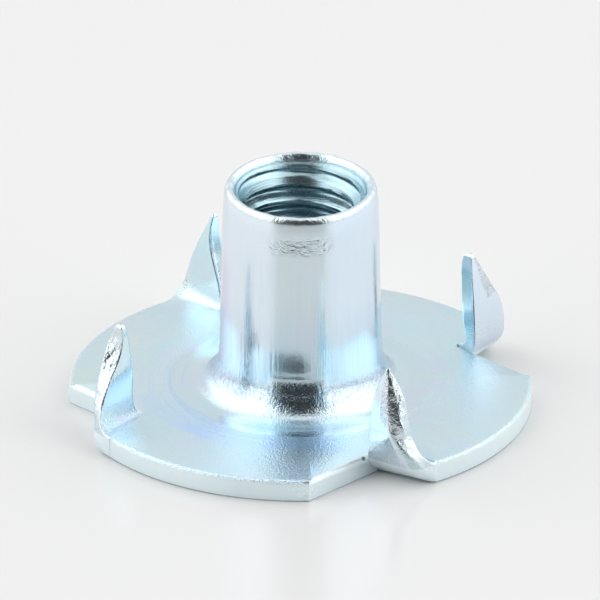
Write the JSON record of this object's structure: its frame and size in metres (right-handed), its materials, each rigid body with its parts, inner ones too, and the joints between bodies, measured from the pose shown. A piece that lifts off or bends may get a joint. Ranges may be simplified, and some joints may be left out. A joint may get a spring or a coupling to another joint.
{
  "type": "tee nut",
  "caption": "Pressed steel tee nut: round notched flange with folded-up prongs and a drawn, internally threaded barrel, for a metric thread in wood.",
  "frame": {"origin": "centre of the flange's underside, on the barrel's axis", "axes": "+Z along the barrel from the flange to the lip, X and Y in the flange's plane with the first slit's outer end near +X"},
  "size_m": [0.022, 0.022, 0.0114],
  "materials": {
    "zinc_plated_steel": "bright zinc plating with pale blue passivation"
  },
  "bodies": {
    "root": {"tee_nut": "zinc_plated_steel"}
  },
  "joints": []
}
